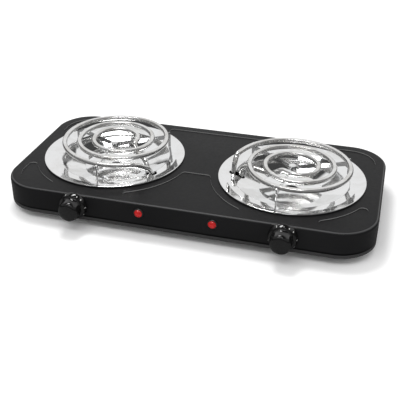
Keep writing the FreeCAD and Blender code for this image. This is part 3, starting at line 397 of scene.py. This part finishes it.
def makeKnob(side):
    place = knobPlace(side)
    shaftEnd = (place.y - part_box("thermostat_shaft_" + side)[0].y) / mm + knobShape["boreSlack"]
    bore = knobShape["inside"][-1][0]
    profile = knobShape["outside"] + knobShape["inside"] + [(bore, shaftEnd), (0.0, shaftEnd)]
    shape = bmesh.new()
    rim = [shape.verts.new(place + Vector((r * mm, -d * mm, 0.0))) for r, d in profile]
    edges = [shape.edges.new(pair) for pair in zip(rim[:-1], rim[1:])]
    bmesh.ops.spin(shape, geom=rim + edges, cent=place, axis=(0.0, 1.0, 0.0), angle=math.tau,
                   steps=knobShape["steps"], use_merge=True)
    bmesh.ops.remove_doubles(shape, verts=shape.verts, dist=knobShape["weld"])
    bmesh.ops.recalc_face_normals(shape, faces=shape.faces)
    for face in shape.faces:
        face.smooth = True
    knob = newPiece("knobMoulding_" + side, shape, finishes["knob_plastic"])
    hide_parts("knob_" + side)
    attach(knob, "knob_" + side)


# angles in degrees clockwise from the top as seen from the front, lengths in millimetres
knobScale = {
    # angle, width and length of each stroke
    "strokes": [(-26, 0.7, 3.6), (4, 0.6, 1.4), (26, 1.4, 2.0), (46, 1.4, 2.2), (86, 0.8, 3.2),
                (120, 0.8, 2.4), (154, 0.8, 3.2), (188, 0.8, 2.4), (222, 0.8, 3.2), (254, 0.8, 2.4)],
    "foot": (17.75, 3.0), "head": (16.9, 6.1),  # ends of the skirt's slope, radius and distance
    "thick": 0.12, "fromHead": 0.2,
    "corner": 0.35, "cornerSteps": 3,  # rounding as a share of the width
    "ink": {"colour": (0.36, 0.36, 0.35), "roughness": 0.6},
}


def runsAlong(edge, direction, nearly=0.9):
    first, second = edge.verts
    return abs((first.co - second.co).normalized().dot(direction)) > nearly


def makeScale(side, finish):
    place = knobPlace(side)
    foot, head = Vector(knobScale["foot"]), Vector(knobScale["head"])
    along = (head - foot).normalized()
    out = Vector((along.y, -along.x))
    ahead = Vector((0.0, -1.0, 0.0))
    shape = bmesh.new()
    for angle, width, length in knobScale["strokes"]:
        # a third of its thickness out, so that it stands proud of the skirt
        middle = head - along * (length / 2 + knobScale["fromHead"]) + out * knobScale["thick"] / 3
        turn = math.radians(angle)
        outward = Vector((math.sin(turn), 0.0, math.cos(turn)))
        slope = outward * along.x + ahead * along.y
        normal = outward * out.x + ahead * out.y
        across = slope.cross(normal)
        axes = Matrix((across, slope, normal)).transposed().to_4x4()
        axes.translation = place + (outward * middle.x + ahead * middle.y) * mm
        size = Matrix.Diagonal((width * mm, length * mm, knobScale["thick"] * mm, 1.0))
        stroke = bmesh.ops.create_cube(shape, size=1.0, matrix=axes @ size)
        corners = {edge for vert in stroke["verts"] for edge in vert.link_edges if runsAlong(edge, normal)}
        bmesh.ops.bevel(shape, geom=list(corners), offset=width * mm * knobScale["corner"],
                        offset_type="OFFSET", affect="EDGES", segments=knobScale["cornerSteps"], profile=0.5,
                        material=-1)
    bmesh.ops.recalc_face_normals(shape, faces=shape.faces)
    marks = newPiece("knobScale_" + side, shape, finish)
    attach(marks, "knob_" + side)


scaleInk = makePlastic("scaleInk", **knobScale["ink"])
for side in ("left", "right"):
    makeKnob(side)
    makeScale(side, scaleInk)
print("knobs")


floorLook = {"halfWidth": 6.0, "paper": (0.92, 0.92, 0.92), "reflected": (0.22, 0.22, 0.22),
             "roughness": 0.9, "specular": 0.1}


def makeStage():
    mesh = bpy.data.meshes.new("floor")
    shape = bmesh.new()
    bmesh.ops.create_grid(shape, x_segments=1, y_segments=1, size=floorLook["halfWidth"])
    shape.to_mesh(mesh)
    shape.free()
    floor = bpy.data.objects.new("floor", mesh)
    bpy.context.scene.collection.objects.link(floor)
    material, tree, shader = startMaterial("floorPaper", floorLook["paper"], roughness=floorLook["roughness"],
                                           specular=floorLook["specular"])
    glossy = addNode(tree, "ShaderNodeLightPath").outputs["Is Glossy Ray"]
    tree.links.new(mixColours(tree, glossy, floorLook["paper"], floorLook["reflected"]),
                   shader.inputs["Base Color"])
    mesh.materials.append(material)


# what shines reflects a dim room with grey screens, under a bright tent that leans towards the back;
# everything else is lit by a plain room; hem, hole and screens are ranges of height
room = {"plain": (0.9, 0.9, 0.9), "dim": (0.055, 0.055, 0.055), "screen": (0.36, 0.36, 0.36),
        "tent": (0.88, 0.88, 0.88), "lean": 0.85, "hem": (0.80, 0.86), "hole": (0.74, 0.78),
        "screens": (0.24, 0.30)}


def makeWorld():
    world = bpy.data.worlds.new("studio")
    world.use_nodes = True
    tree = world.node_tree
    direction = addNode(tree, "ShaderNodeTexCoord").outputs["Generated"]
    leaning = addNode(tree, "ShaderNodeVectorMath", {"operation": "DOT_PRODUCT"})
    leaning.inputs[1].default_value = (0.0, room["lean"], 1.0)
    tree.links.new(direction, leaning.inputs[0])
    height = splitVector(tree, direction)["Z"]
    belowHole = spread(tree, height, *room["hole"], 1.0, 0.0)
    inTent = multiply(tree, spread(tree, leaning.outputs["Value"], *room["hem"], 0.0, 1.0), belowHole)
    onScreens = multiply(tree, spread(tree, height, *room["screens"], 0.0, 1.0), belowHole)
    walls = mixColours(tree, onScreens, room["dim"], room["screen"])
    shine = mixColours(tree, inTent, walls, room["tent"])
    glossy = addNode(tree, "ShaderNodeLightPath").outputs["Is Glossy Ray"]
    tree.links.new(mixColours(tree, glossy, room["plain"], shine), tree.nodes["Background"].inputs["Color"])
    bpy.context.scene.world = world


# rectangular soft lights, aimed at the middle of the base
lights = {"overhead": {"place": (-0.3, 0.35, 1.4), "size": (0.5, 0.3), "power": 9.0},
          "front": {"place": (-0.15, -0.75, 1.3), "size": (1.3, 0.14), "power": 5.0}}


def addLight(name, place, size, power):
    data = bpy.data.lights.new(name, "AREA")
    data.shape = "RECTANGLE"
    data.size = size[0]
    data.size_y = size[1]
    data.energy = power
    light = bpy.data.objects.new(name, data)
    bpy.context.scene.collection.objects.link(light)
    aim = -Vector(place)
    light.matrix_world = Matrix.Translation(Vector(place)) @ aim.to_track_quat("-Z", "Y").to_matrix().to_4x4()


makeStage()
makeWorld()
for name, values in lights.items():
    addLight(name, **values)
bpy.context.scene.view_settings.view_transform = "Standard"
print("stage and light")
